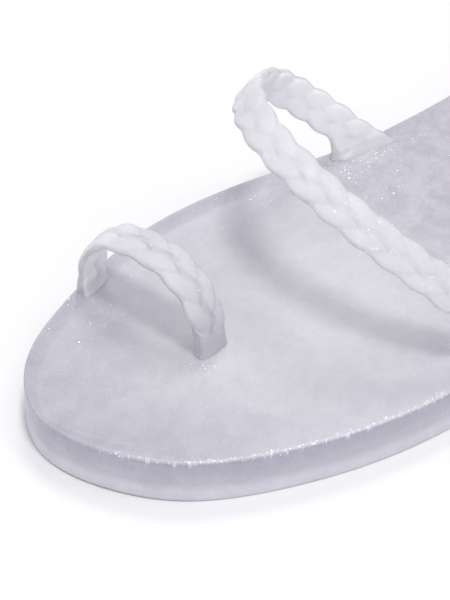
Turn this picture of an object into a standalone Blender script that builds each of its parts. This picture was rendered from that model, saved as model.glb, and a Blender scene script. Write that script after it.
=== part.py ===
"""Left flat sandal in clear jelly plastic: a one-piece sole, a plaited toe ring and a plaited instep strap.

Lengths are in millimetres and become metres when a mesh is made. X points to the inner side of the foot,
Y to the toes and Z up from the floor. The tables give places measured from the back of the heel, where an
empty carries the pieces, so that the origin lies on the floor under the middle of the sole.
"""

import bmesh
import bpy
import numpy as np

METRE = 0.001
CLEARANCE = 0.3
CURVE_STEPS = 30
SHARP_ANGLE = 40.0

# Sole: an even slab that is a little thicker under the heel, with a shallow hollow under the waist
FOREFOOT_THICKNESS = 12.0
HEEL_RISE = 3.0
HEEL_RISE_SPAN = (150.0, 60.0)
TOE_SPRING = 0.3
TOE_SPRING_SPAN = (228.0, 252.0)
WAIST_HOLLOW = 1.2
WAIST_SPAN = (58.0, 138.0)
FOOTBED_DISH = 0.7
FOOTBED_DISH_SLOPE = 14.0
TOP_EDGE_RADIUS = 1.2
BOTTOM_EDGE_RADIUS = 0.6
EDGE_STEPS = 3
SIDE_CELLS = 48
CELLS_ACROSS = 8
HEEL_BACK = (0.0, 0.0)
TOE_TIP = (8.0, 252.4)
SOLE_SECTIONS = (
    # along, outer edge, inner edge
    (12.0, -23.0, 23.0),
    (35.0, -30.0, 30.0),
    (75.0, -32.0, 28.7),
    (110.0, -35.5, 28.9),
    (140.0, -43.6, 32.3),
    (165.0, -45.8, 38.5),
    (190.0, -43.4, 41.6),
    (210.0, -37.8, 38.9),
    (230.0, -28.3, 32.5),
    (244.0, -15.4, 24.3),
)

# Plait: three strands that sway from edge to edge and pass over and under each other on a thin web
LOBE_PITCH = 8.0
STRAND_WIDTH = 5.4
STRAND_DEPTH = 2.8
STRAND_FLATNESS = 3.0
STRAND_SWAY = 1.9
STRAND_WEAVE = 0.5
STRAND_SLOPE = 6.0
WEB_DEPTH = 1.4
CREASE_SOFTNESS = 0.2
EDGE_SOFTNESS = 0.5
STEPS_PER_LOBE = 6
FACE_CELLS = 8

# Strap feet: plain blocks at both ends of a strap, sunk into slots of the sole
FOOT_SQUARENESS = 0.45
FOOT_BLEND = 4.0
FOOT_BOTTOM = 7.0
SLOT_REACH = 3.0
SLOT_STATIONS = 6

# Instep strap: a loop that leans forward and is highest over the inner side of the foot
INSTEP_FOOT = {"width": 11.5, "thickness": 4.2, "length": 12.0}
INSTEP_LAY = {"first_turn": -2.0, "last_turn": 4.0, "dip": 25.0}
INSTEP_ROUTE = (
    # across, along, above the floor
    (27.0, 131.5, FOOT_BOTTOM),
    (36.6, 157.6, 37.4),
    (23.8, 178.1, 52.4),
    (6.2, 186.0, 54.4),
    (-20.2, 181.5, 43.6),
    (-38.7, 167.0, 25.3),
    (-40.5, 152.0, FOOT_BOTTOM),
)

# Toe ring: a full half ellipse over the big toe with straight legs, the inner one close to the edge
RING_FOOT = {"width": 8.8, "thickness": 3.8, "length": 9.0}
RING_LAY = {"first_turn": 16.0, "last_turn": 4.0, "dip": 0.0}
RING_INNER_LEG = (34.6, 216.2)
RING_OUTER_LEG = (1.0, 209.6)
RING_HEIGHT = 20.2
RING_LEAN = 0.7
RING_FULLNESS = 2.4
RING_STEPS = 24

# Colours in linear light, with the roughness of each piece
SOLE_LOOK = {"colour": (0.62, 0.61, 0.67, 1.0), "roughness": 0.30}
STRAP_LOOK = {"colour": (0.76, 0.75, 0.79, 1.0), "roughness": 0.38}


def smooth_step(start, end, value):
    """Rise from 0 at start to 1 at end with level ends; start may be the larger."""
    part = np.clip((value - start) / (end - start), 0.0, 1.0)
    return part * part * (3.0 - 2.0 * part)


def smooth_curve(points, closed=False):
    """Cubic spline through the points, with CURVE_STEPS steps between each two."""
    knots = np.array(points, float)
    if closed:
        knots = np.vstack([knots, knots[:1]])
    count = len(knots)
    span = np.linalg.norm(np.diff(knots, axis=0), axis=1) ** 0.5
    slope = np.diff(knots, axis=0) / span[:, None]
    rows = np.eye(count)
    change = np.zeros_like(knots)
    for row in range(1, count - 1):
        before, after = span[row - 1], span[row]
        rows[row, row - 1:row + 2] = before, 2.0 * (before + after), after
        change[row] = 6.0 * (slope[row] - slope[row - 1])
    if closed:
        rows[0, -1] = -1.0
        rows[-1, [0, 1, -2, -1]] = 2.0 * span[0], span[0], span[-1], 2.0 * span[-1]
        change[-1] = 6.0 * (slope[0] - slope[-1])
    bend = np.linalg.solve(rows, change)
    place = np.arange((count - 1) * CURVE_STEPS + 1) / CURVE_STEPS
    left = np.minimum(place.astype(int), count - 2)
    width = span[left][:, None]
    ahead = (place - left)[:, None] * width
    behind = width - ahead
    cubic = (bend[left] * behind ** 3 + bend[left + 1] * ahead ** 3) / (6.0 * width)
    linear = (knots[left] / width - bend[left] * width / 6.0) * behind
    return cubic + linear + (knots[left + 1] / width - bend[left + 1] * width / 6.0) * ahead


def distances_along(line):
    """Distance of each point of the line from its first point, measured along it."""
    return np.concatenate([[0.0], np.cumsum(np.linalg.norm(np.diff(line, axis=0), axis=1))])


def points_at(line, wanted):
    """Points of the line at the wanted distances along it."""
    distance = distances_along(line)
    return np.stack([np.interp(wanted, distance, column) for column in line.T], axis=1)


def evenly_spaced(line, count):
    """The same line with count points at even distances."""
    return points_at(line, np.linspace(0.0, distances_along(line)[-1], count))


def sole_outline():
    """Points around the sole: from the heel up the inner side to the toe's tip, then down the outer side."""
    inner = [(edge, along) for along, _, edge in SOLE_SECTIONS]
    outer = [(edge, along) for along, edge, _ in reversed(SOLE_SECTIONS)]
    line = smooth_curve([HEEL_BACK] + inner + [TOE_TIP] + outer, closed=True)
    tip = (len(inner) + 1) * CURVE_STEPS
    up_inner = evenly_spaced(line[:tip + 1], SIDE_CELLS + 1)
    down_outer = evenly_spaced(line[tip:], SIDE_CELLS + 1)
    return np.vstack([up_inner[:-1], down_outer[:-1]])


def underside(along):
    """Height of the sole's bottom: flat at heel and forefoot, hollow at the waist, raised at the toe."""
    waist = np.clip((along - WAIST_SPAN[0]) / (WAIST_SPAN[1] - WAIST_SPAN[0]), 0.0, 1.0)
    return WAIST_HOLLOW * np.sin(np.pi * waist) ** 2 + TOE_SPRING * smooth_step(*TOE_SPRING_SPAN, along)


def footbed(along):
    """Height of the sole's top at its rim."""
    spring = TOE_SPRING * smooth_step(*TOE_SPRING_SPAN, along)
    return FOREFOOT_THICKNESS + HEEL_RISE * smooth_step(*HEEL_RISE_SPAN, along) + spring


def plastic(name, look):
    """A plain Principled material for one piece."""
    material = bpy.data.materials.new(name)
    material.use_nodes = True
    shader = material.node_tree.nodes["Principled BSDF"]
    shader.inputs["Base Color"].default_value = look["colour"]
    shader.inputs["Roughness"].default_value = look["roughness"]
    shader.inputs["Metallic"].default_value = 0.0
    return material


def heel_empty(outline):
    """An empty at the back of the heel, placed so that the middle of the outline is over the origin."""
    middle = (outline.min(axis=0) + outline.max(axis=0)) / 2.0
    heel = bpy.data.objects.new("heel_back", None)
    heel.location = (-middle[0] * METRE, -middle[1] * METRE, 0.0)
    bpy.context.scene.collection.objects.link(heel)
    return heel


def add_piece(name, vertices, faces, look, heel):
    """One closed mesh object, carried by the empty at the heel."""
    mesh = bpy.data.meshes.new(name)
    mesh.from_pydata((np.asarray(vertices) * METRE).tolist(), [], faces)
    shape = bmesh.new()
    shape.from_mesh(mesh)
    bmesh.ops.recalc_face_normals(shape, faces=shape.faces)
    shape.to_mesh(mesh)
    shape.free()
    mesh.shade_smooth()
    mesh.set_sharp_from_angle(angle=np.radians(SHARP_ANGLE))
    mesh.materials.append(plastic(name, look))
    piece = bpy.data.objects.new(name, mesh)
    piece.parent = heel
    bpy.context.scene.collection.objects.link(piece)
    return piece


def without_repeats(corners):
    """The corners of a face, each named once, so that a quad with two corners in one place is a triangle."""
    return tuple(dict.fromkeys(corners))


def make_sole(outline, heel):
    """Rings around the outline for wall and rounded edges, closed by a flat bottom and a dished footbed."""
    ahead = np.roll(outline, -1, axis=0) - np.roll(outline, 1, axis=0)
    inward = np.stack([-ahead[:, 1], ahead[:, 0]], axis=1)
    inward /= np.linalg.norm(inward, axis=1)[:, None]
    turns = np.linspace(0.0, np.pi / 2.0, EDGE_STEPS + 1)
    rings = []
    for turn in turns:
        flat = outline + inward * BOTTOM_EDGE_RADIUS * (1.0 - np.sin(turn))
        height = underside(outline[:, 1]) + BOTTOM_EDGE_RADIUS * (1.0 - np.cos(turn))
        rings.append(np.column_stack([flat, height]))
    for turn in turns[::-1]:
        flat = outline + inward * TOP_EDGE_RADIUS * (1.0 - np.sin(turn))
        height = footbed(outline[:, 1]) - TOP_EDGE_RADIUS * (1.0 - np.cos(turn))
        rings.append(np.column_stack([flat, height]))
    around = len(outline)
    faces = []
    for ring in range(len(rings) - 1):
        low, high = ring * around, (ring + 1) * around
        for step in range(around):
            after = (step + 1) % around
            faces.append((low + step, low + after, high + after, high + step))
    vertices = list(np.vstack(rings))

    for row in range(SIDE_CELLS):
        faces.append(without_repeats((row, row + 1, around - row - 1, (around - row) % around)))

    top = (len(rings) - 1) * around
    rows = [[top]]
    for row in range(1, SIDE_CELLS):
        inner, outer = rings[-1][row], rings[-1][-row]
        width = np.linalg.norm(outer - inner)
        line = [top + row]
        for cell in range(1, CELLS_ACROSS):
            part = cell / CELLS_ACROSS
            point = inner + (outer - inner) * part
            point[2] -= FOOTBED_DISH * smooth_step(0.0, FOOTBED_DISH_SLOPE, width * min(part, 1.0 - part))
            line.append(len(vertices))
            vertices.append(point)
        rows.append(line + [top + around - row])
    rows.append([top + SIDE_CELLS])
    for near, far in zip(rows, rows[1:]):
        for cell in range(CELLS_ACROSS):
            left, right = min(cell, len(near) - 1), min(cell + 1, len(near) - 1)
            ahead_left, ahead_right = min(cell, len(far) - 1), min(cell + 1, len(far) - 1)
            faces.append(without_repeats((near[left], near[right], far[ahead_right], far[ahead_left])))
    return add_piece("sole", vertices, faces, SOLE_LOOK, heel)


def soft_max(values, softness):
    """The largest value along the last axis, rounded off where two are as close as the softness."""
    return softness * np.log(np.exp(values / softness).sum(axis=-1))


def face_loop(across, top, bottom):
    """Section loops from points on the top and bottom faces, which share their two edge points."""
    edge = (top + bottom) / 2.0
    out = np.concatenate([edge[:, :1], top[:, 1:-1], edge[:, -1:], bottom[:, -2:0:-1]], axis=1)
    return np.stack([np.concatenate([across, across[:, -2:0:-1]], axis=1), out], axis=2)


def plait_sections(distance):
    """Sections of the plait, alike on both faces: a strand at phase p sways by sin p and sinks by sin 2p."""
    phase = 2.0 * np.pi * (distance[:, None] / (3.0 * LOBE_PITCH) + np.arange(3) / 3.0)
    sway = STRAND_SWAY * np.sin(phase)
    sunk = STRAND_WEAVE * np.sin(2.0 * phase)
    right = soft_max(sway, EDGE_SOFTNESS) + STRAND_WIDTH / 2.0
    left = -soft_max(-sway, EDGE_SOFTNESS) - STRAND_WIDTH / 2.0
    part = (1.0 - np.cos(np.linspace(0.0, np.pi, FACE_CELLS + 1))) / 2.0
    across = left[:, None] + (right - left)[:, None] * part
    reach = np.abs(across[:, :, None] - sway[:, None, :]) / (STRAND_WIDTH / 2.0)
    crown = np.sqrt(np.clip(1.0 - reach ** STRAND_FLATNESS, 0.0, None))
    dome = crown - STRAND_SLOPE * np.clip(reach - 1.0, 0.0, None)
    rise = STRAND_DEPTH / 2.0 * dome
    web = np.full_like(rise[:, :, :1], WEB_DEPTH / 2.0)
    top = soft_max(np.concatenate([rise - sunk[:, None, :], web], axis=2), CREASE_SOFTNESS)
    return face_loop(across, top, -top)


def foot_sections(count, foot, grow=0.0):
    """Sections of a plain foot block: a rectangle with rounded corners, alike at every station."""
    turn = np.linspace(0.0, np.pi, FACE_CELLS + 1)
    swing = -np.cos(turn)
    across = (foot["width"] / 2.0 + grow) * np.sign(swing) * np.abs(swing) ** FOOT_SQUARENESS
    top = (foot["thickness"] / 2.0 + grow) * np.abs(np.sin(turn)) ** FOOT_SQUARENESS
    return np.repeat(face_loop(across[None], top[None], -top[None]), count, axis=0)


def sweep(centres, parts, lay, sections):
    """Vertices and faces of a closed solid: the sections along the centre line, flat side to the foot.

    The parts say how far along its strap each centre is, from 0 to 1, because the lay turns on the way.
    """
    turn = np.radians(lay["first_turn"] + (lay["last_turn"] - lay["first_turn"]) * parts)
    dip = np.full_like(turn, np.radians(lay["dip"]))
    level = np.stack([-np.sin(turn) * np.cos(dip), np.cos(turn) * np.cos(dip), -np.sin(dip)], axis=1)
    along = np.gradient(centres, axis=0)
    along /= np.linalg.norm(along, axis=1)[:, None]
    across = level - (along * level).sum(axis=1)[:, None] * along
    across /= np.linalg.norm(across, axis=1)[:, None]
    out = np.cross(across, along)
    points = centres[:, None] + sections[:, :, :1] * across[:, None] + sections[:, :, 1:] * out[:, None]
    stations, around = sections.shape[:2]
    faces = [tuple(range(around)), tuple(range((stations - 1) * around, stations * around))]
    for station in range(stations - 1):
        near, far = station * around, (station + 1) * around
        for side in range(around):
            after = (side + 1) % around
            faces.append((near + side, near + after, far + after, far + side))
    return points.reshape(-1, 3), faces


def make_strap(name, route, lay, foot, heel):
    """A plaited strap along the route, with a plain foot at each end."""
    length = distances_along(route)[-1]
    stations = int(length / LOBE_PITCH * STEPS_PER_LOBE)
    distance = np.linspace(0.0, length, stations)
    from_end = np.minimum(distance, length - distance)
    plait = smooth_step(foot["length"], foot["length"] + FOOT_BLEND, from_end)[:, None, None]
    sections = plait * plait_sections(distance) + (1.0 - plait) * foot_sections(stations, foot)
    shape = sweep(points_at(route, distance), distance / length, lay, sections)
    add_piece(name, *shape, STRAP_LOOK, heel)


def cut_slot(sole, name, route, lay, foot, at_end=False):
    """Cut the slot for the foot at one end of the route, a clearance wider and deeper than the foot."""
    length = distances_along(route)[-1]
    distance = np.linspace(0.0, foot["length"] + SLOT_REACH, SLOT_STATIONS)
    if at_end:
        distance = length - distance
    line = points_at(route, distance)
    heading = line[0] - line[1]
    line[0] += heading / np.linalg.norm(heading) * CLEARANCE
    sections = foot_sections(SLOT_STATIONS, foot, grow=CLEARANCE)
    cutter = add_piece(name, *sweep(line, distance / length, lay, sections), SOLE_LOOK, sole.parent)
    cutter.hide_render = True
    cutter.display_type = "WIRE"
    cut = sole.modifiers.new(name, "BOOLEAN")
    cut.operation = "DIFFERENCE"
    cut.solver = "EXACT"
    cut.object = cutter


def ring_route():
    """Centre line of the toe ring: up one straight leg, over half an ellipse, down the other leg."""
    inner, outer = np.array(RING_INNER_LEG), np.array(RING_OUTER_LEG)
    half = (inner - outer) / 2.0
    turn = np.linspace(0.0, np.pi, RING_STEPS + 1)[:, None]
    swing = np.sign(np.cos(turn)) * np.abs(np.cos(turn)) ** (2.0 / RING_FULLNESS)
    rise = np.sin(turn) ** (2.0 / RING_FULLNESS)
    flat = (inner + outer) / 2.0 + (swing + rise * RING_LEAN / np.linalg.norm(half)) * half
    arch = np.hstack([flat, FOREFOOT_THICKNESS + RING_HEIGHT * rise])
    return np.vstack([[*inner, FOOT_BOTTOM], arch, [*outer, FOOT_BOTTOM]])


for leftover in list(bpy.data.objects):
    bpy.data.objects.remove(leftover, do_unlink=True)

outline_points = sole_outline()
heel_back = heel_empty(outline_points)
sole_piece = make_sole(outline_points, heel_back)
instep_line = smooth_curve(INSTEP_ROUTE)
ring_line = ring_route()
make_strap("instep_strap", instep_line, INSTEP_LAY, INSTEP_FOOT, heel_back)
make_strap("toe_ring", ring_line, RING_LAY, RING_FOOT, heel_back)
cut_slot(sole_piece, "instep_inner_slot", instep_line, INSTEP_LAY, INSTEP_FOOT)
cut_slot(sole_piece, "instep_outer_slot", instep_line, INSTEP_LAY, INSTEP_FOOT, at_end=True)
cut_slot(sole_piece, "ring_inner_slot", ring_line, RING_LAY, RING_FOOT)
cut_slot(sole_piece, "ring_outer_slot", ring_line, RING_LAY, RING_FOOT, at_end=True)
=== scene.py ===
"""Looks of a left flat sandal in clear glitter jelly: a moulded sole, two plaited straps and loose glitter.

Shapes are in millimetres from the back of the heel, as in the part's source: X to the inner side of the foot,
Y to the toes, Z up from the floor. Spans of colour are in millimetres from the middle of the sole. Meshes,
lights and the camera are in metres in the part's own frame.
"""

import bmesh
import bpy
import numpy as np
from mathutils import Euler, Matrix, Vector


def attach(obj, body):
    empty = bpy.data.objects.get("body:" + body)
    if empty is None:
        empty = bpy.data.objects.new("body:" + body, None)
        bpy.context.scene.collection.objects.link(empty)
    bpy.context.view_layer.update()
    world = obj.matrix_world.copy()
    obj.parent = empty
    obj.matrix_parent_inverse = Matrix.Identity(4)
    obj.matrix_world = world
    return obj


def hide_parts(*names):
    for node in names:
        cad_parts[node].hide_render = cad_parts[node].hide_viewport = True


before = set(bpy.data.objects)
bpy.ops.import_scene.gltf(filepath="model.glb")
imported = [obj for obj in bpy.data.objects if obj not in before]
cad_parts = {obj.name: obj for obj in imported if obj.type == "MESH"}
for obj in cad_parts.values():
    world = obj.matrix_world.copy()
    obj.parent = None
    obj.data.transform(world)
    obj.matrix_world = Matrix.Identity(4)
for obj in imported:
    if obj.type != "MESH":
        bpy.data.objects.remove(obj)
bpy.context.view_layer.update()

# Sole: footbed and outsole are moulded in one slab of milky clear jelly, a little thicker under the heel.
# The wall's colour is painted deepest under its narrow, bright rim, as painted shade, and pale at the floor,
# as painted light from the white floor. On the inner side of the foot a soft, deeper border of painted shade
# runs inside the rim.
METRE = 0.001
HEEL_BACK = (0.0, 0.0)
TOE_TIP = (8.0, 252.4)
SOLE_SECTIONS = np.array([
    # along, outer edge, inner edge
    (12.0, -23.0, 23.0),
    (35.0, -30.0, 30.0),
    (75.0, -32.0, 28.7),
    (110.0, -35.5, 28.9),
    (140.0, -43.6, 32.3),
    (165.0, -45.8, 38.5),
    (190.0, -43.4, 41.6),
    (210.0, -37.8, 38.9),
    (230.0, -28.3, 32.5),
    (244.0, -15.4, 24.3),
])
FOREFOOT_THICKNESS = 12.0
HEEL_RISE = 3.0
HEEL_RISE_SPAN = (150.0, 60.0)
TOE_SPRING = 0.3
TOE_SPRING_SPAN = (228.0, 252.0)
WAIST_HOLLOW = 1.2
WAIST_SPAN = (58.0, 138.0)
FOOTBED_DISH = 0.7
FOOTBED_DISH_SLOPE = 14.0
TOP_EDGE_RADIUS = 0.6
BOTTOM_EDGE_RADIUS = 0.6
SIDE_CELLS = 240
EDGE_CELLS = 7
WALL_CELLS = 12
FLAT_CELLS = 26
FLAT_CROWDING = 1.3
CURVE_STEPS = 40
MERGE_DISTANCE = 1e-4


def smooth_step(start, end, value):
    """Rise from 0 at start to 1 at end as 3 p squared less 2 p cubed, with p the share of the way."""
    part = np.clip((value - start) / (end - start), 0.0, 1.0)
    return part * part * (3.0 - 2.0 * part)


def smooth_curve(knots, closed=False):
    """Cubic spline with knots spaced by the square root of their chord; its bends solve one row a knot."""
    knots = np.asarray(knots, float)
    if closed:
        knots = np.vstack([knots, knots[:1]])
    count = len(knots)
    span = np.linalg.norm(np.diff(knots, axis=0), axis=1) ** 0.5
    slope = np.diff(knots, axis=0) / span[:, None]
    inner = np.arange(1, count - 1)
    rows = np.eye(count)
    rows[inner, inner - 1] = span[:-1]
    rows[inner, inner] = 2.0 * (span[:-1] + span[1:])
    rows[inner, inner + 1] = span[1:]
    change = np.zeros_like(knots)
    change[inner] = 6.0 * np.diff(slope, axis=0)
    if closed:
        rows[0, -1] = -1.0
        rows[-1, [0, 1, -2, -1]] = 2.0 * span[0], span[0], span[-1], 2.0 * span[-1]
        change[-1] = 6.0 * (slope[0] - slope[-1])
    bend = np.linalg.solve(rows, change)
    place = np.arange((count - 1) * CURVE_STEPS + 1) / CURVE_STEPS
    left = np.minimum(place.astype(int), count - 2)
    width = span[left][:, None]
    ahead = (place - left)[:, None] * width
    behind = width - ahead
    cubic = (bend[left] * behind ** 3 + bend[left + 1] * ahead ** 3) / (6.0 * width)
    linear = (knots[left] / width - bend[left] * width / 6.0) * behind
    return cubic + linear + (knots[left + 1] / width - bend[left + 1] * width / 6.0) * ahead


def points_at(line, wanted):
    """Points of a line at the wanted distances along it."""
    steps = np.linalg.norm(np.diff(line, axis=0), axis=1)
    distance = np.concatenate([[0.0], np.cumsum(steps)])
    return np.stack([np.interp(wanted, distance, column) for column in line.T], axis=1)


def line_length(line):
    """Length of a line of points."""
    return np.linalg.norm(np.diff(line, axis=0), axis=1).sum()


def sole_outline():
    """Points around the sole, evenly spaced up the inner side to the toe's tip and down the outer side."""
    inner = SOLE_SECTIONS[:, [2, 0]]
    outer = SOLE_SECTIONS[::-1, [1, 0]]
    line = smooth_curve(np.vstack([[HEEL_BACK], inner, [TOE_TIP], outer]), closed=True)
    tip = (len(inner) + 1) * CURVE_STEPS
    sides = [line[:tip + 1], line[tip:]]
    even = [points_at(side, np.linspace(0.0, line_length(side), SIDE_CELLS + 1))[:-1] for side in sides]
    return np.vstack(even)


def underside(along):
    """Height of the bottom: a squared sine hollow at the waist and a small rise at the toe."""
    waist = np.clip((along - WAIST_SPAN[0]) / (WAIST_SPAN[1] - WAIST_SPAN[0]), 0.0, 1.0)
    return WAIST_HOLLOW * np.sin(np.pi * waist) ** 2 + TOE_SPRING * smooth_step(*TOE_SPRING_SPAN, along)


def footbed(along):
    """Height of the top at its rim: the forefoot's thickness, more towards the heel, and the toe's rise."""
    spring = TOE_SPRING * smooth_step(*TOE_SPRING_SPAN, along)
    return FOREFOOT_THICKNESS + HEEL_RISE * smooth_step(*HEEL_RISE_SPAN, along) + spring


def sole_surface(outline):
    """Grid of profiles around the outline: from the middle of the bottom, up the wall and in to the middle.

    Each profile point is the outline point moved inwards by an inset, then along the line to the opposite
    point by a share of the way to the middle, at a height between the underside and the footbed. Marks are
    the share of the wall's height and the distance in from the rim.
    """
    ahead = np.roll(outline, -1, axis=0) - np.roll(outline, 1, axis=0)
    inward = np.stack([-ahead[:, 1], ahead[:, 0]], axis=1)
    inward /= np.linalg.norm(inward, axis=1)[:, None]
    low, high = underside(outline[:, 1]), footbed(outline[:, 1])
    turn = np.linspace(0.0, np.pi / 2.0, EDGE_CELLS + 1)[:, None]
    share = np.linspace(0.0, 1.0, FLAT_CELLS + 1)[1:, None] ** FLAT_CROWDING
    mirror = -np.arange(len(outline))

    def across(radius):
        """The outline moved inwards by an edge's radius, and half the way to the opposite point."""
        rim = outline + inward * radius
        return rim, (rim[mirror] - rim) / 2.0

    bottom_rim, bottom_way = across(BOTTOM_EDGE_RADIUS)
    top_rim, top_way = across(TOP_EDGE_RADIUS)
    bottom_flat = bottom_rim + share[::-1, :, None] * bottom_way
    bottom_edge = outline + inward * BOTTOM_EDGE_RADIUS * (1.0 - np.sin(turn))[:, :, None]
    top_edge = outline + inward * TOP_EDGE_RADIUS * (1.0 - np.sin(turn[::-1]))[:, :, None]
    top_flat = top_rim + share[:, :, None] * top_way
    wall_part = np.linspace(0.0, 1.0, WALL_CELLS + 1)[1:-1, None]
    wall = np.repeat(outline[None], len(wall_part), axis=0)

    bottom_height = low + BOTTOM_EDGE_RADIUS * (1.0 - np.cos(turn))
    top_height = high - TOP_EDGE_RADIUS * (1.0 - np.cos(turn[::-1]))
    wall_height = bottom_height[-1] + wall_part * (top_height[0] - bottom_height[-1])
    inset = share * np.linalg.norm(top_way, axis=1)
    level = high + share * (high[mirror] - high) / 2.0
    dished = level - FOOTBED_DISH * smooth_step(0.0, FOOTBED_DISH_SLOPE, inset)
    side_height = np.concatenate([bottom_height, wall_height, top_height])
    bottom_level = low + share[::-1] * (low[mirror] - low) / 2.0
    flat = np.concatenate([bottom_flat, bottom_edge, wall, top_edge, top_flat])
    height = np.concatenate([bottom_level, side_height, dished])
    side_rise = (side_height - low) / (high - low)
    rise = np.concatenate([np.zeros_like(inset), side_rise, np.ones_like(inset)])
    from_rim = np.concatenate([np.zeros_like(inset), np.zeros_like(side_rise), inset])
    return np.concatenate([flat, height[:, :, None]], axis=2), {"rise": rise, "inset": from_rim}


def grid_quads(rows, columns):
    """Quads between the neighbours of a grid whose rows close round."""
    index = np.arange(rows * columns).reshape(rows, columns)
    after = np.roll(index, -1, axis=1)
    return np.stack([index[:-1], after[:-1], after[1:], index[1:]], axis=2).reshape(-1, 4)


def add_piece(name, points, faces, marks, merge=0.0):
    """A mesh object at the origin from points in heel millimetres; marks are values kept at its points."""
    mesh = bpy.data.meshes.new(name)
    mesh.from_pydata(((points.reshape(-1, 3) + HEEL_SHIFT) * METRE).tolist(), [], faces)
    for mark, values in marks.items():
        kept = np.ascontiguousarray(values, np.float32).ravel()
        mesh.attributes.new(mark, "FLOAT", "POINT").data.foreach_set("value", kept)
    shape = bmesh.new()
    shape.from_mesh(mesh)
    if merge:
        bmesh.ops.remove_doubles(shape, verts=shape.verts, dist=merge * METRE)
    bmesh.ops.recalc_face_normals(shape, faces=shape.faces)
    shape.to_mesh(mesh)
    shape.free()
    mesh.shade_smooth()
    piece = bpy.data.objects.new(name, mesh)
    bpy.context.scene.collection.objects.link(piece)
    return piece


def set_sockets(tree, node, values):
    """Each named socket of the node takes a plain value or a link from another node's output."""
    for socket, value in values.items():
        if isinstance(value, bpy.types.NodeSocket):
            tree.links.new(value, node.inputs[socket])
        else:
            node.inputs[socket].default_value = value


def add_node(tree, kind, sockets=None, **choices):
    """One shader node: choices are its own settings, sockets its inputs."""
    node = tree.nodes.new(kind)
    for choice, value in choices.items():
        setattr(node, choice, value)
    set_sockets(tree, node, sockets or {})
    return node


def add_math(tree, operation, first, second=0.0):
    """Output of a math node on two values or outputs."""
    return add_node(tree, "ShaderNodeMath", {0: first, 1: second}, operation=operation).outputs[0]


def add_range(tree, value, start, end, low=0.0, high=1.0):
    """A value taken smoothly from low at start to high at end."""
    sockets = {"Value": value, "From Min": start, "From Max": end, "To Min": low, "To Max": high}
    return add_node(tree, "ShaderNodeMapRange", sockets, interpolation_type="SMOOTHSTEP").outputs["Result"]


def add_span(tree, axis, span, low=0.0, high=1.0):
    """A value taken smoothly from low to high along an axis of the part, over a span in millimetres."""
    return add_range(tree, axis, span[0] * METRE, span[1] * METRE, low, high)


def add_mix(tree, share, first, second, blend="MIX"):
    """A colour mixed from two colours by a share, or the first one multiplied by the second."""
    sockets = {0: share, 6: first, 7: second}
    return add_node(tree, "ShaderNodeMix", sockets, data_type="RGBA", blend_type=blend).outputs[2]


def add_ramp(tree, value, stops):
    """Colours eased between stops, each a place from 0 to 1 and its colour."""
    node = add_node(tree, "ShaderNodeValToRGB", {"Fac": value})
    ramp = node.color_ramp
    ramp.interpolation = "EASE"
    ramp.elements.remove(ramp.elements[1])
    ramp.elements[0].position, ramp.elements[0].color = stops[0]
    for place, colour in stops[1:]:
        ramp.elements.new(place).color = colour
    return node.outputs["Color"]


def add_attribute(tree, name):
    """A value kept at the points of the mesh."""
    return add_node(tree, "ShaderNodeAttribute", attribute_name=name).outputs["Fac"]


def add_place(tree):
    """Object coordinates, and their three parts."""
    place = add_node(tree, "ShaderNodeTexCoord").outputs["Object"]
    return place, add_node(tree, "ShaderNodeSeparateXYZ", {"Vector": place}).outputs


CLOUD_NOISE = {"Detail": 7.0, "Roughness": 0.78, "Distortion": 0.4}
DUST_DOT_SPAN = (0.45, 0.2)
FINE_NOISE = {"Scale": 1500.0, "Detail": 2.0}
FINE_SHARE = 0.5
SWELL_NOISE = {"Scale": 160.0, "Detail": 1.0}
SKIN_DEPTH = 0.2


def jelly_group():
    """Effects of the milky jelly: Cloud is slow mottling, Dust is fine glitter, Grain is the skin's height.

    Cloud is noise bent by finer noise. Dust is a dot at the middle of each Voronoi cell whose random number
    is over one less the share. Grain is fine noise on a slow swell.
    """
    group = bpy.data.node_groups.new("glitter_jelly", "ShaderNodeTree")
    for name in ("Cloud Scale", "Dust Scale", "Dust Share"):
        group.interface.new_socket(name, in_out="INPUT", socket_type="NodeSocketFloat")
    for name in ("Cloud", "Dust", "Grain"):
        group.interface.new_socket(name, in_out="OUTPUT", socket_type="NodeSocketFloat")
    given = group.nodes.new("NodeGroupInput").outputs
    place, _ = add_place(group)
    cloud = add_node(
        group, "ShaderNodeTexNoise", {"Vector": place, "Scale": given["Cloud Scale"], **CLOUD_NOISE})
    cells = add_node(group, "ShaderNodeTexVoronoi", {"Vector": place, "Scale": given["Dust Scale"]})
    chance = add_node(group, "ShaderNodeSeparateColor", {"Color": cells.outputs["Color"]}).outputs["Red"]
    chosen = add_math(group, "GREATER_THAN", chance, add_math(group, "SUBTRACT", 1.0, given["Dust Share"]))
    dot = add_range(group, cells.outputs["Distance"], *DUST_DOT_SPAN)
    dust = add_math(group, "MULTIPLY", chosen, dot)
    fine = add_node(group, "ShaderNodeTexNoise", {"Vector": place, **FINE_NOISE})
    swell = add_node(group, "ShaderNodeTexNoise", {"Vector": place, **SWELL_NOISE})
    fine_part = add_math(group, "MULTIPLY", fine.outputs["Fac"], FINE_SHARE)
    grain = add_math(group, "ADD", fine_part, swell.outputs["Fac"])
    add_node(group, "NodeGroupOutput", {"Cloud": cloud.outputs["Fac"], "Dust": dust, "Grain": grain})
    return group


def start_material(name):
    """A new material, its node tree and its Principled shader."""
    material = bpy.data.materials.new(name)
    material.use_nodes = True
    return material, material.node_tree, material.node_tree.nodes["Principled BSDF"]


def add_skin(tree, shader, grain, strength):
    """The jelly's slightly uneven skin, as a bump on the shader."""
    sockets = {"Height": grain, "Strength": strength, "Distance": SKIN_DEPTH * METRE}
    bump = add_node(tree, "ShaderNodeBump", sockets)
    tree.links.new(bump.outputs["Normal"], shader.inputs["Normal"])


# Painted light on the wall: deepened under the rim as painted shade, pale at the floor as painted light from
# the floor.
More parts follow.
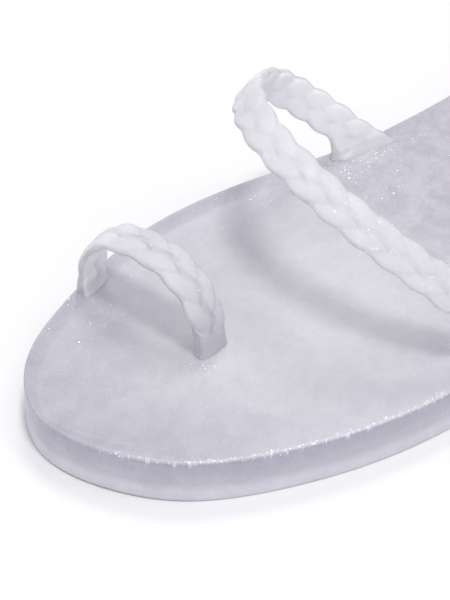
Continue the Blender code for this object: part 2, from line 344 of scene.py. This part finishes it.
WALL_PAINTED_LIGHT_BANDS = (
    # share of the wall's height, colour
    (0.0, (0.66, 0.655, 0.705, 1.0)),
    (0.2, (0.665, 0.66, 0.71, 1.0)),
    (0.5, (0.51, 0.50, 0.57, 1.0)),
    (0.78, (0.45, 0.435, 0.515, 1.0)),
    (0.95, (0.415, 0.40, 0.485, 1.0)),
)
RIM_TURN = (0.945, 0.985)
INSET_SPAN = 32.0
# Painted light in from the rim: a faint painted highlight at the rim, a deeper border of painted shade, a
# lighter band of painted reflection, then lighter towards the middle.
FOOTBED_PAINTED_LIGHT_BANDS = (
    # share of the inset span, colour
    (0.0, (0.52, 0.51, 0.57, 1.0)),
    (0.03, (0.485, 0.475, 0.525, 1.0)),
    (0.10, (0.51, 0.50, 0.55, 1.0)),
    (0.16, (0.59, 0.58, 0.63, 1.0)),
    (0.22, (0.575, 0.57, 0.615, 1.0)),
    (0.45, (0.575, 0.57, 0.61, 1.0)),
    (1.0, (0.63, 0.625, 0.655, 1.0)),
)
BORDER_WIDTH = 9.0
OUTER_SPAN = (0.0, -20.0)
# Painted shade: the footbed darkens towards the heel, under the strap.
FOOTBED_HEEL_SHADE = (0.515, 0.505, 0.555, 1.0)
HEEL_SHADE_SPAN = (55.0, 0.0)
HEEL_SHADE_SHARE = 0.85
FOOTBED_TOE = (0.44, 0.43, 0.49, 1.0)
TOE_SPAN = (75.0, 120.0)
TOE_SHARE = 0.60
CLOUD_DEEP = (0.66, 0.65, 0.71, 1.0)
CLOUD_SPAN = (0.36, 0.66)
CLOUD_SHARES = (0.22, 0.55)
CLOUD_TOE = 0.14
CLOUD_CALM_SPAN = (0.0, -50.0)
CLOUD_CALM = 0.65
# Painted glints: white streaks just under the rim, partly glitter in the jelly and partly painted light where
# it catches the lamps, fainter on the inner side.
PAINTED_GLINT_WHITE = (0.86, 0.85, 0.90, 1.0)
STREAK_STRETCH = (1.0, 1.0, 0.1)
STREAK_NOISE = {"Scale": 1200.0, "Detail": 2.0}
STREAK_SPAN = (0.54, 0.70)
STREAK_SHARE = 0.6
STREAK_RISE = (0.84, 0.98)
STREAK_INSET = (1.0, 0.2)
INNER_GLINT_SHARE = 0.25
GLITTER_WHITE = (0.97, 0.97, 1.0, 1.0)
SOLE_DUST = 0.2
SHEEN_SPAN = (0.3, 0.7)
SOLE_SHEEN = (0.42, 0.34)
SOLE_SKIN = 0.4
SOLE_JELLY = {"Cloud Scale": 150.0, "Dust Scale": 2400.0, "Dust Share": 0.12}
SOLE_BODY = {
    "IOR": 1.45, "Subsurface Weight": 0.25, "Subsurface Radius": (1.0, 0.97, 1.05),
    "Subsurface Scale": 0.0015, "Coat Weight": 0.35, "Coat Roughness": 0.16}


def sole_material(group):
    """Milky lavender jelly, mottled, with painted light and shade: bands up the wall and in from the rim,
    deeper to the heel.

    The wall's bands give way to the footbed's round the top edge. Mottling multiplies both, more to the heel
    and the toe. Streaks are noise drawn out upright, at the rim alone, as painted glints, and dust is mixed
    over all.
    """
    material, tree, shader = start_material("sole_jelly")
    jelly = add_node(tree, "ShaderNodeGroup", node_tree=group)
    set_sockets(tree, jelly, SOLE_JELLY)
    rise, inset = add_attribute(tree, "rise"), add_attribute(tree, "inset")
    place, axes = add_place(tree)
    # Wall colour by height: painted shade under the rim, painted floor light at its foot.
    wall = add_ramp(tree, rise, WALL_PAINTED_LIGHT_BANDS)
    # On the outer side the bed starts past the border, so the painted rim highlight, border shade and
    # reflection band show on the inner side alone.
    outer = add_span(tree, axes["X"], OUTER_SPAN)
    from_rim = add_math(tree, "MAXIMUM", inset, add_math(tree, "MULTIPLY", outer, BORDER_WIDTH))
    bed = add_ramp(tree, add_math(tree, "DIVIDE", from_rim, INSET_SPAN), FOOTBED_PAINTED_LIGHT_BANDS)
    # Painted shade deepening towards the heel.
    heelward = add_span(tree, axes["Y"], HEEL_SHADE_SPAN)
    bed = add_mix(tree, add_math(tree, "MULTIPLY", heelward, HEEL_SHADE_SHARE), bed, FOOTBED_HEEL_SHADE)
    bed = add_mix(tree, add_span(tree, axes["Y"], TOE_SPAN, 0.0, TOE_SHARE), bed, FOOTBED_TOE)
    plain = add_mix(tree, add_range(tree, rise, *RIM_TURN), wall, bed)
    calm = add_span(tree, axes["Y"], CLOUD_CALM_SPAN, 1.0, CLOUD_CALM)
    depth = add_math(tree, "MULTIPLY", add_range(tree, heelward, 0.0, 1.0, *CLOUD_SHARES), calm)
    depth = add_math(tree, "ADD", depth, add_span(tree, axes["Y"], TOE_SPAN, 0.0, CLOUD_TOE))
    cloud = add_math(tree, "MULTIPLY", add_range(tree, jelly.outputs["Cloud"], *CLOUD_SPAN), depth)
    clouded = add_mix(tree, cloud, plain, CLOUD_DEEP, "MULTIPLY")
    # Painted glints streaked just under the rim, fainter on the inner side.
    upright = add_node(tree, "ShaderNodeVectorMath", {0: place, 1: STREAK_STRETCH}, operation="MULTIPLY")
    lines = add_node(tree, "ShaderNodeTexNoise", {"Vector": upright.outputs[0], **STREAK_NOISE})
    streak = add_range(tree, lines.outputs["Fac"], *STREAK_SPAN, 0.0, STREAK_SHARE)
    up_wall = add_range(tree, rise, *STREAK_RISE)
    at_rim = add_math(tree, "MULTIPLY", up_wall, add_range(tree, inset, *STREAK_INSET))
    by_side = add_range(tree, outer, 0.0, 1.0, INNER_GLINT_SHARE, 1.0)
    streak = add_math(tree, "MULTIPLY", streak, add_math(tree, "MULTIPLY", at_rim, by_side))
    glinted = add_mix(tree, streak, clouded, PAINTED_GLINT_WHITE)
    dust = add_math(tree, "MULTIPLY", jelly.outputs["Dust"], SOLE_DUST)
    colour = add_mix(tree, dust, glinted, GLITTER_WHITE)
    sheen = add_range(tree, jelly.outputs["Cloud"], *SHEEN_SPAN, *SOLE_SHEEN)
    add_skin(tree, shader, jelly.outputs["Grain"], SOLE_SKIN)
    set_sockets(tree, shader, {"Base Color": colour, "Roughness": sheen, **SOLE_BODY})
    return material


outline_points = sole_outline()
outline_middle = (outline_points.min(axis=0) + outline_points.max(axis=0)) / 2.0
HEEL_SHIFT = np.array([-outline_middle[0], -outline_middle[1], 0.0])
sole_points, sole_marks = sole_surface(outline_points)
sole_faces = grid_quads(*sole_points.shape[:2]).tolist()
sole = add_piece("sole_skin", sole_points, sole_faces, sole_marks, MERGE_DISTANCE)
glitter_jelly = jelly_group()
sole.data.materials.append(sole_material(glitter_jelly))
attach(sole, "root")
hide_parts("sole")

# Instep strap: a band plaited from three strands and moulded whole, with raised leaves alike on both faces.
# Its jelly is frostier than the sole's. Each end is a plain foot that is sunk into the footbed and welded.
LOBE_PITCH = 8.0
STRANDS = 3
STRAND_WIDTH = 5.4
STRAND_DEPTH = 2.8
STRAND_FLATNESS = 5.5
STRAND_SWAY = 1.9
STRAND_WEAVE = 0.22
STRAND_SLOPE = 6.0
WEB_DEPTH = 1.4
CREASE_SOFTNESS = 0.06
CREASE_REACH = 0.10
PIT_REACH = 0.45
CREASE_SHARE = 0.5
EDGE_SOFTNESS = 0.5
EDGE_ROUNDNESS = 0.3
STEPS_PER_LOBE = 32
FACE_CELLS = 36
FOOT_SQUARENESS = 0.4
FOOT_BOTTOM = 7.0
RIM_MARGIN = 0.8
FLARE_NARROWNESS = 6.0
INSTEP_INNER_FOOT = {"width": 9.6, "thickness": 3.8, "length": 5.0, "blend": 5.0, "slant": 0.0}
INSTEP_OUTER_FOOT = {"width": 11.0, "thickness": 4.0, "length": 6.0, "blend": 5.0, "slant": 0.0}
INSTEP_WELD = {"spread": 0.6, "height": 3.0, "flare": 4.5, "flare_height": 6.5}
INSTEP_SWELL = 1.0
INSTEP_LAY = {"places": (0.0, 0.14, 1.0), "turns": (-8.0, -2.0, 4.0), "dip": 25.0}
INSTEP_ROUTE = (
    # across, along, above the floor
    (27.0, 131.5, FOOT_BOTTOM),
    (36.6, 157.6, 37.4),
    (23.8, 178.1, 52.4),
    (6.2, 186.0, 54.4),
    (-20.2, 181.5, 43.6),
    (-38.7, 167.0, 25.3),
    (-40.5, 152.0, FOOT_BOTTOM),
)
# Tints: crest is the strap's own colour, crease and edge are painted shade, foot is painted light low on the
# feet, inner is painted light on the inner leg.
INSTEP_TINTS = {
    "crest": (0.825, 0.82, 0.84, 1.0), "crease": (0.89, 0.885, 0.90, 1.0), "edge": (0.75, 0.745, 0.775, 1.0),
    "foot": (0.86, 0.85, 0.90, 1.0), "inner": (0.99, 0.985, 1.0, 1.0)}
# Painted light: the strap's feet are lightened near the footbed.
INSTEP_FOOT_SPAN = (15.0, 12.0)
# Painted light: the inner leg is lightened, standing for light through it from behind onto its shaded face.
INSTEP_INNER_PAINTED_LIGHT_SPAN = (18.0, 36.0)
# Painted shade: the strap's edges darken to a thin outline.
STRAP_EDGE_SPAN = (0.88, 0.99)
STRAP_CLOUD_SPAN = (0.38, 0.68)
STRAP_CLOUD_SHARE = 0.15
STRAP_DUST = 0.7
STRAP_SHEEN = (0.52, 0.42)
STRAP_SKIN = 0.15
STRAP_JELLY = {"Cloud Scale": 170.0, "Dust Scale": 2400.0, "Dust Share": 0.02}
STRAP_BODY = {"IOR": 1.12, "Transmission Weight": 0.35, "Coat Weight": 0.15, "Coat Roughness": 0.3}


def soft_max(values, softness):
    """The largest value along the last axis, rounded off where two are as close as the softness."""
    return softness * np.log(np.exp(values / softness).sum(axis=-1))


def both_faces(values):
    """Values of the points across one face, repeated for the loop around both faces."""
    return np.concatenate([values, values[..., -2:0:-1]], axis=-1)


def face_loop(across, top):
    """Section loops from the points of one face; the other mirrors it, and they share two edge points."""
    edge = np.zeros_like(top[:, :1])
    out = np.concatenate([edge, top[:, 1:-1], edge, -top[:, -2:0:-1]], axis=1)
    return np.stack([both_faces(across), out], axis=2)


def plait_sections(distance):
    """Sections of the plait, alike on both faces, and how near each point is to a crease.

    A strand at phase p sways by sin p and sinks by sin 2p. Its face is a flattened half ellipse, and the
    plait's face is the highest strand or the web, rounded off at the creases and towards both edges. A crease
    is where the two highest of them are level, and a deeper pit is where all three strands are.
    """
    phase = 2.0 * np.pi * (distance[:, None] / (STRANDS * LOBE_PITCH) + np.arange(STRANDS) / STRANDS)
    sway = STRAND_SWAY * np.sin(phase)
    sunk = STRAND_WEAVE * np.sin(2.0 * phase)
    right = soft_max(sway, EDGE_SOFTNESS) + STRAND_WIDTH / 2.0
    left = -soft_max(-sway, EDGE_SOFTNESS) - STRAND_WIDTH / 2.0
    turn = np.linspace(0.0, np.pi, FACE_CELLS + 1)
    across = left[:, None] + (right - left)[:, None] * (1.0 - np.cos(turn)) / 2.0
    reach = np.abs(across[:, :, None] - sway[:, None, :]) / (STRAND_WIDTH / 2.0)
    crown = np.sqrt(np.clip(1.0 - reach ** STRAND_FLATNESS, 0.0, None))
    rise = STRAND_DEPTH / 2.0 * (crown - STRAND_SLOPE * np.clip(reach - 1.0, 0.0, None))
    level = rise - sunk[:, None, :]
    web = np.full_like(level[:, :, :1], WEB_DEPTH / 2.0)
    top = soft_max(np.concatenate([level, web], axis=2), CREASE_SOFTNESS)
    lowest, middle, highest = np.moveaxis(np.sort(level, axis=2), 2, 0)
    crease = np.exp(-((highest - np.maximum(middle, web[:, :, 0])) / CREASE_REACH) ** 2)
    pit = np.exp(-((highest - lowest) / PIT_REACH) ** 2)
    # The crease mark sets the painted shade in the creases and pits.
    crease = np.maximum(CREASE_SHARE * crease, pit)
    top = top * np.abs(np.sin(turn)) ** EDGE_ROUNDNESS
    return face_loop(across, top), both_faces(crease)


def foot_sections(count, foot):
    """Sections of a plain foot block: a rectangle with rounded corners, alike at every station."""
    turn = np.linspace(0.0, np.pi, FACE_CELLS + 1)
    swing = -np.cos(turn)
    across = foot["width"] / 2.0 * np.sign(swing) * np.abs(swing) ** FOOT_SQUARENESS
    top = foot["thickness"] / 2.0 * np.abs(np.sin(turn)) ** FOOT_SQUARENESS
    return np.repeat(face_loop(across[None], top[None]), count, axis=0)


def sweep(centres, parts, lay, sections):
    """Points of the sections along the centre line, with the flat side turned to the foot by the lay.

    The lay gives a way across at each part of the line, turned in plan and dipped. A section's width lies
    along that way, less its share along the line, and its depth along the cross product of width and line.
    """
    turn = np.radians(np.interp(parts, lay["places"], lay["turns"]))
    dip = np.full_like(turn, np.radians(lay["dip"]))
    level = np.stack([-np.sin(turn) * np.cos(dip), np.cos(turn) * np.cos(dip), -np.sin(dip)], axis=1)
    along = np.gradient(centres, axis=0)
    along /= np.linalg.norm(along, axis=1)[:, None]
    across = level - (along * level).sum(axis=1)[:, None] * along
    across /= np.linalg.norm(across, axis=1)[:, None]
    out = np.cross(across, along)
    return centres[:, None] + sections[:, :, :1] * across[:, None] + sections[:, :, 1:] * out[:, None]


def strap_surface(route, lay, feet, weld, swell):
    """Plait between two plain feet, which are welded to the footbed inside the sole's inner rim.

    A foot gives way to the plait over its blend, earlier on one edge than on the other by twice its slant.
    Near the footbed each point moves out level by a squared fall with height, and the edge at the toe side by
    a cubed fall as well. At the footbed every point keeps a margin from the inner rim, and higher up it may
    stand out by its height.
    """
    length = line_length(route)
    stations = int(length / LOBE_PITCH * STEPS_PER_LOBE)
    distance = np.linspace(0.0, length, stations)
    edge = both_faces(-np.cos(np.linspace(0.0, np.pi, FACE_CELLS + 1)))
    sections, crease = plait_sections(distance)
    sections = sections * (swell, 1.0)
    for foot, from_end in zip(feet, (distance, length - distance)):
        reach = from_end[:, None] + foot["slant"] * edge
        plaited = smooth_step(foot["length"], foot["length"] + foot["blend"], reach)
        crease = crease * plaited
        plain = foot_sections(stations, foot)
        sections = plain + plaited[:, :, None] * (sections - plain)
    centres = points_at(route, distance)
    points = sweep(centres, distance / length, lay, sections)
    outward = (points - centres[:, None]) * (1.0, 1.0, 0.0)
    outward /= np.linalg.norm(outward, axis=2)[:, :, None]
    above = points[:, :, 2] - footbed(points[:, :, 1])
    fillet = weld["spread"] * np.clip(1.0 - above / weld["height"], 0.0, 1.0) ** 2
    flare = weld["flare"] * np.clip(1.0 - above / weld["flare_height"], 0.0, 1.0) ** 3
    fillet = fillet + flare * np.clip(edge, 0.0, 1.0) ** FLARE_NARROWNESS
    points = points + fillet[:, :, None] * outward
    inner_edge = np.interp(points[:, :, 1], SOLE_SECTIONS[:, 0], SOLE_SECTIONS[:, 2])
    points[:, :, 0] = np.minimum(points[:, :, 0], inner_edge - RIM_MARGIN + np.clip(above, 0.0, None))
    return points, {"crease": crease, "edge": np.broadcast_to(np.abs(edge), crease.shape)}


def strap_faces(points):
    """Quads along the strap and one cap at each end."""
    stations, around = points.shape[:2]
    caps = [list(range(around)), list(range((stations - 1) * around, stations * around))]
    return grid_quads(stations, around).tolist() + caps


def strap_material(name, group, tints, foot_span, inner_painted_light_span):
    """Frosted jelly: pale on the leaves, with painted shade in the creases and at the edges, mottled and
    dusted.

    The crest's colour gives way to the foot's by height, as painted light on the strap's feet and as painted
    shade with the sole's colour on the ring's legs, and to the inner leg's by side, as painted light. It is
    multiplied at the creases and gives way to the edge's, both painted shade.
    """
    material, tree, shader = start_material(name)
    jelly = add_node(tree, "ShaderNodeGroup", node_tree=group)
    set_sockets(tree, jelly, STRAP_JELLY)
    _, axes = add_place(tree)
    # Colour by height: painted light on the strap's feet, painted shade on the ring's legs.
    footed = add_mix(tree, add_span(tree, axes["Z"], foot_span), tints["crest"], tints["foot"])
    # Painted light on the inner leg, by side.
    inner_painted_light = add_mix(tree, add_span(tree, axes["X"], inner_painted_light_span), footed, tints["inner"])
    # Painted shade multiplied in at the creases and pits.
    crease_shaded = add_mix(tree, add_attribute(tree, "crease"), inner_painted_light, tints["crease"], "MULTIPLY")
    # Painted shade at the strap's edges.
    at_edge = add_range(tree, add_attribute(tree, "edge"), *STRAP_EDGE_SPAN)
    edge_shaded = add_mix(tree, at_edge, crease_shaded, tints["edge"])
    cloud = add_range(tree, jelly.outputs["Cloud"], *STRAP_CLOUD_SPAN, 0.0, STRAP_CLOUD_SHARE)
    clouded = add_mix(tree, cloud, edge_shaded, CLOUD_DEEP, "MULTIPLY")
    dust = add_math(tree, "MULTIPLY", jelly.outputs["Dust"], STRAP_DUST)
    colour = add_mix(tree, dust, clouded, GLITTER_WHITE)
    sheen = add_range(tree, jelly.outputs["Cloud"], *SHEEN_SPAN, *STRAP_SHEEN)
    add_skin(tree, shader, jelly.outputs["Grain"], STRAP_SKIN)
    set_sockets(tree, shader, {"Base Color": colour, "Roughness": sheen, **STRAP_BODY})
    return material


def add_strap(name, node, points, marks, material):
    """One finished strap, in place of its node."""
    strap = add_piece(name, points, strap_faces(points), marks)
    strap.data.materials.append(material)
    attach(strap, "root")
    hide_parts(node)


instep_line = smooth_curve(INSTEP_ROUTE)
instep_points, instep_marks = strap_surface(
    instep_line, INSTEP_LAY, (INSTEP_INNER_FOOT, INSTEP_OUTER_FOOT), INSTEP_WELD, INSTEP_SWELL)
instep_jelly = strap_material(
    "instep_strap_jelly", glitter_jelly, INSTEP_TINTS, INSTEP_FOOT_SPAN, INSTEP_INNER_PAINTED_LIGHT_SPAN)
add_strap("instep_strap_plait", "instep_strap", instep_points, instep_marks, instep_jelly)

# Toe ring: the same plait, moulded whole as a full arch over the big toe. Its legs are painted deeper and
# more lavender towards the footbed, as painted shade and as the sole's colour painted in as if seen through
# the jelly.
# Both legs are sunk into the footbed and welded, the inner one at the rim and the outer one as a plain square
# block.
RING_INNER_FOOT = {"width": 8.6, "thickness": 3.6, "length": 5.0, "blend": 4.0, "slant": 0.0}
RING_OUTER_FOOT = {"width": 7.8, "thickness": 3.3, "length": 9.4, "blend": 0.8, "slant": -2.2}
RING_WELD = {"spread": 0.3, "height": 2.0, "flare": 0.0, "flare_height": 1.0}
RING_SWELL = 1.1
RING_LAY = {"places": (0.0, 1.0), "turns": (16.0, 4.0), "dip": 0.0}
RING_INNER_LEG = np.array([34.75, 216.3])
RING_OUTER_LEG = np.array([1.0, 209.6])
RING_HEIGHT = 20.2
RING_LEAN = 0.7
RING_FULLNESS = 2.4
RING_STEPS = 96
# Ring tints: crest is its own colour, foot is painted shade with the sole's colour as if seen through the
# legs, crease and edge are painted shade, inner is painted light.
RING_TINTS = {
    "crest": (0.79, 0.78, 0.81, 1.0), "crease": (0.74, 0.73, 0.75, 1.0), "edge": (0.71, 0.70, 0.74, 1.0),
    "foot": (0.735, 0.725, 0.79, 1.0), "inner": (0.99, 0.98, 1.0, 1.0)}
RING_FOOT_SPAN = (30.0, 14.0)
# Painted light on the ring's inner leg.
RING_INNER_PAINTED_LIGHT_SPAN = (22.0, 32.0)


def ring_route():
    """Centre line: a leg up, a half ellipse made fuller by powers of sine and cosine, and a leg down."""
    half = (RING_INNER_LEG - RING_OUTER_LEG) / 2.0
    turn = np.linspace(0.0, np.pi, RING_STEPS + 1)[:, None]
    swing = np.sign(np.cos(turn)) * np.abs(np.cos(turn)) ** (2.0 / RING_FULLNESS)
    rise = np.abs(np.sin(turn)) ** (2.0 / RING_FULLNESS)
    middle = (RING_INNER_LEG + RING_OUTER_LEG) / 2.0
    flat = middle + (swing + rise * RING_LEAN / np.linalg.norm(half)) * half
    arch = np.hstack([flat, FOREFOOT_THICKNESS + RING_HEIGHT * rise])
    return np.vstack([[*RING_INNER_LEG, FOOT_BOTTOM], arch, [*RING_OUTER_LEG, FOOT_BOTTOM]])


ring_points, ring_marks = strap_surface(
    ring_route(), RING_LAY, (RING_INNER_FOOT, RING_OUTER_FOOT), RING_WELD, RING_SWELL)
ring_jelly = strap_material("toe_ring_jelly", glitter_jelly, RING_TINTS, RING_FOOT_SPAN, RING_INNER_PAINTED_LIGHT_SPAN)
add_strap("toe_ring_plait", "toe_ring", ring_points, ring_marks, ring_jelly)

# Glitter: loose six-sided flakes of silver foil that were stirred into the jelly and lie flush with its skin.
# They are thinly strewn, and gather along the outer rim, round the strap feet and in the straps' outer ends.
# In the frosted straps they look milky.
BED_FLAKE_RADIUS = (0.05, 0.14)
CLUMP_FLAKE_RADIUS = (0.07, 0.20)
FLAKE_THICKNESS = 0.08
FLAKE_LIFT = 0.03
FLAKE_TILT = 0.12
FLAKE_CORNERS = 6
FLAKE_SEED = 11
BED_FLAKES = 500
CLUMP_FLAKES = 1300
BED_RISE = (0.05, 0.1)
SPOT_RISE = (0.9, 1.0)
RIM_SHARE = 0.6
RIM_REACH = 0.6
RIM_SIDE = (0.0, -20.0)
GLITTER_SPOTS = np.array([
    # across, along, reach, share
    (28.0, 144.5, 4.0, 1.3),
    (24.5, 135.5, 4.0, 0.6),
    (20.0, 149.0, 3.5, 0.3),
    (30.5, 165.0, 5.0, 0.5),
    (37.0, 175.0, 5.0, 0.4),
    (14.5, 138.0, 9.0, 0.15),
    (-0.5, 214.0, 3.0, 1.2),
    (27.5, 222.5, 6.0, 0.4),
    (-37.0, 160.0, 5.0, 0.6),
])
STRAP_FLAKES = {"instep": 620, "ring": 140}
STRAP_FLAKE_RADIUS = (0.07, 0.24)
STRAP_FLAKE_SIDE = (0.0, -34.0)
STRAP_FLAKE_LEAST = 0.18
STRAP_BARE_HEIGHTS = (13.0, 15.0)
FOIL_DULL = (0.62, 0.62, 0.68, 1.0)
FOIL_METALLIC = 0.6
MILKY_FOIL_DULL = (0.90, 0.90, 0.93, 1.0)
MILKY_FOIL_METALLIC = 0.1
FOIL_ROUGHNESS = 0.3


def sole_density(points, marks):
    """Density of the clumps, along the outer rim and as a bell round each spot, and of the even strewing."""
    from_rim = marks["inset"] + (1.0 - marks["rise"]) * FOREFOOT_THICKNESS
    rim = RIM_SHARE * np.exp(-(from_rim / RIM_REACH) ** 2) * smooth_step(*RIM_SIDE, points[:, :, 0])
    away = np.linalg.norm(points[:, :, None, :2] - GLITTER_SPOTS[:, :2], axis=3) / GLITTER_SPOTS[:, 2]
    spots = (GLITTER_SPOTS[:, 3] * np.exp(-away ** 2)).sum(axis=2) * smooth_step(*SPOT_RISE, marks["rise"])
    return rim + spots, smooth_step(*BED_RISE, marks["rise"])


def scatter(points, density, count, draw):
    """Places and outward ways on a closed grid, drawn from its cells by area times density."""
    cells = grid_quads(*points.shape[:2])
    corners = points.reshape(-1, 3)[cells]
    cell_density = density.ravel()[cells].mean(axis=1)
    way = np.cross(corners[:, 2] - corners[:, 0], corners[:, 3] - corners[:, 1])
    size = np.linalg.norm(way, axis=1)
    weight = size * cell_density
    chosen = draw.choice(len(corners), count, p=weight / weight.sum())
    first, second = draw.random((2, count, 1))
    near = corners[chosen, 0] * (1.0 - first) + corners[chosen, 1] * first
    far = corners[chosen, 3] * (1.0 - first) + corners[chosen, 2] * first
    return near * (1.0 - second) + far * second, way[chosen] / size[chosen, None]


def add_flakes(name, places, ways, radii, material, draw):
    """One mesh of thin six-sided plates, each turned and tilted at random about its outward way.

    Small ones are the most common: a radius grows with the square of a random share.
    """
    count = len(places)
    ways = ways + draw.normal(0.0, FLAKE_TILT, ways.shape)
    ways /= np.linalg.norm(ways, axis=1)[:, None]
    side = np.cross(ways, draw.normal(size=ways.shape))
    side /= np.linalg.norm(side, axis=1)[:, None]
    other = np.cross(ways, side)
    turn = 2.0 * np.pi * np.arange(FLAKE_CORNERS) / FLAKE_CORNERS
    radius = radii[0] + (radii[1] - radii[0]) * draw.random((count, 1, 1)) ** 2
    ring = radius * (np.cos(turn)[:, None] * side[:, None] + np.sin(turn)[:, None] * other[:, None])
    top = places[:, None] + ring + ways[:, None] * FLAKE_LIFT
    points = np.concatenate([top, top - ways[:, None] * FLAKE_THICKNESS], axis=1)
    first = 2 * FLAKE_CORNERS * np.arange(count)[:, None, None]
    corner = np.arange(FLAKE_CORNERS)
    after = np.roll(corner, -1)
    plates = first + np.stack([corner, corner[::-1] + FLAKE_CORNERS])
    sides = first + np.stack([corner, corner + FLAKE_CORNERS, after + FLAKE_CORNERS, after], axis=1)
    faces = plates.reshape(-1, FLAKE_CORNERS).tolist() + sides.reshape(-1, 4).tolist()
    gleam = np.repeat(draw.random(count), 2 * FLAKE_CORNERS)
    flakes = add_piece(name, points, faces, {"gleam": gleam})
    flakes.data.shade_flat()
    flakes.data.materials.append(material)
    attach(flakes, "root")


def flake_material(name, dull, metallic):
    """Foil mixed from a dull colour to white by each flake's own gleam."""
    material, tree, shader = start_material(name)
    colour = add_mix(tree, add_attribute(tree, "gleam"), dull, GLITTER_WHITE)
    set_sockets(tree, shader, {"Base Color": colour, "Metallic": metallic, "Roughness": FOIL_ROUGHNESS})
    return material


flake_draw = np.random.default_rng(FLAKE_SEED)
foil = flake_material("glitter_foil", FOIL_DULL, FOIL_METALLIC)
milky_foil = flake_material("glitter_foil_in_strap", MILKY_FOIL_DULL, MILKY_FOIL_METALLIC)
clump_density, bed_density = sole_density(sole_points, sole_marks)
bed_places, bed_ways = scatter(sole_points, bed_density, BED_FLAKES, flake_draw)
add_flakes("sole_glitter", bed_places, bed_ways, BED_FLAKE_RADIUS, foil, flake_draw)
clump_places, clump_ways = scatter(sole_points, clump_density, CLUMP_FLAKES, flake_draw)
add_flakes("sole_glitter_clumps", clump_places, clump_ways, CLUMP_FLAKE_RADIUS, foil, flake_draw)
for strap_name, strap_points in (("instep", instep_points), ("ring", ring_points)):
    clear = smooth_step(*STRAP_BARE_HEIGHTS, strap_points[:, :, 2])
    outer = STRAP_FLAKE_LEAST + smooth_step(*STRAP_FLAKE_SIDE, strap_points[:, :, 0])
    places, ways = scatter(strap_points, clear * outer, STRAP_FLAKES[strap_name], flake_draw)
    add_flakes(strap_name + "_glitter", places, ways, STRAP_FLAKE_RADIUS, milky_foil, flake_draw)

# Studio: a white floor that runs out of view, an even white room, three soft lights overhead and a low one in
# front. The camera is where the photograph was taken from, well back with a long lens.
FLOOR_SIZE = 6.0
FLOOR_PAINT = {"Base Color": (0.87, 0.87, 0.87, 1.0), "Roughness": 0.7, "Specular IOR Level": 0.2}
ROOM_LIGHT = {"Color": (0.93, 0.92, 1.0, 1.0), "Strength": 0.65}
LIGHT_COLOUR = (1.0, 0.99, 0.95)
SOFTBOXES = (
    # size, power, place
    (0.17, 3.2, (-0.19, 0.15, 0.95)),
    (0.28, 0.7, (-0.28, -0.23, 0.95)),
    (0.32, 1.8, (0.30, -0.24, 0.92)),
    (0.50, 0.9, (-0.62, 0.53, 0.35)),
)
CAMERA_TARGET = Vector((0.02231, 0.06254, 0.0))
CAMERA_AZIMUTH = -130.56
CAMERA_ELEVATION = 43.0
CAMERA_ROLL = -0.56
CAMERA_DISTANCE = 0.6598
CAMERA_LENS = 168.96

floor_mesh = bpy.data.meshes.new("floor")
floor_corners = np.array([(-1, -1, 0), (1, -1, 0), (1, 1, 0), (-1, 1, 0)]) * FLOOR_SIZE / 2.0
floor_mesh.from_pydata(floor_corners.tolist(), [], [(0, 1, 2, 3)])
floor = bpy.data.objects.new("floor", floor_mesh)
bpy.context.scene.collection.objects.link(floor)
floor_paint, floor_tree, floor_shader = start_material("floor_white")
set_sockets(floor_tree, floor_shader, FLOOR_PAINT)
floor_mesh.materials.append(floor_paint)

room = bpy.data.worlds.new("white_room")
room.use_nodes = True
set_sockets(room.node_tree, room.node_tree.nodes["Background"], ROOM_LIGHT)
bpy.context.scene.world = room

for light_size, light_power, light_place in SOFTBOXES:
    soft_light = bpy.data.lights.new("studio_softbox", "AREA")
    soft_light.shape = "DISK"
    soft_light.size = light_size
    soft_light.energy = light_power
    soft_light.color = LIGHT_COLOUR
    softbox = bpy.data.objects.new("studio_softbox", soft_light)
    softbox.location = light_place
    softbox.rotation_euler = (-Vector(light_place)).to_track_quat("-Z", "Y").to_euler()
    bpy.context.scene.collection.objects.link(softbox)

lens = bpy.data.cameras.new("product_camera")
lens.lens = CAMERA_LENS
camera = bpy.data.objects.new("product_camera", lens)
aim = Euler((np.radians(90.0 - CAMERA_ELEVATION), 0.0, np.radians(CAMERA_AZIMUTH))).to_matrix()
aim = aim @ Matrix.Rotation(np.radians(CAMERA_ROLL), 3, "Z")
camera.matrix_world = Matrix.Translation(CAMERA_TARGET + aim.col[2] * CAMERA_DISTANCE) @ aim.to_4x4()
bpy.context.scene.collection.objects.link(camera)
bpy.context.scene.camera = camera
bpy.context.scene.view_settings.view_transform = "Standard"
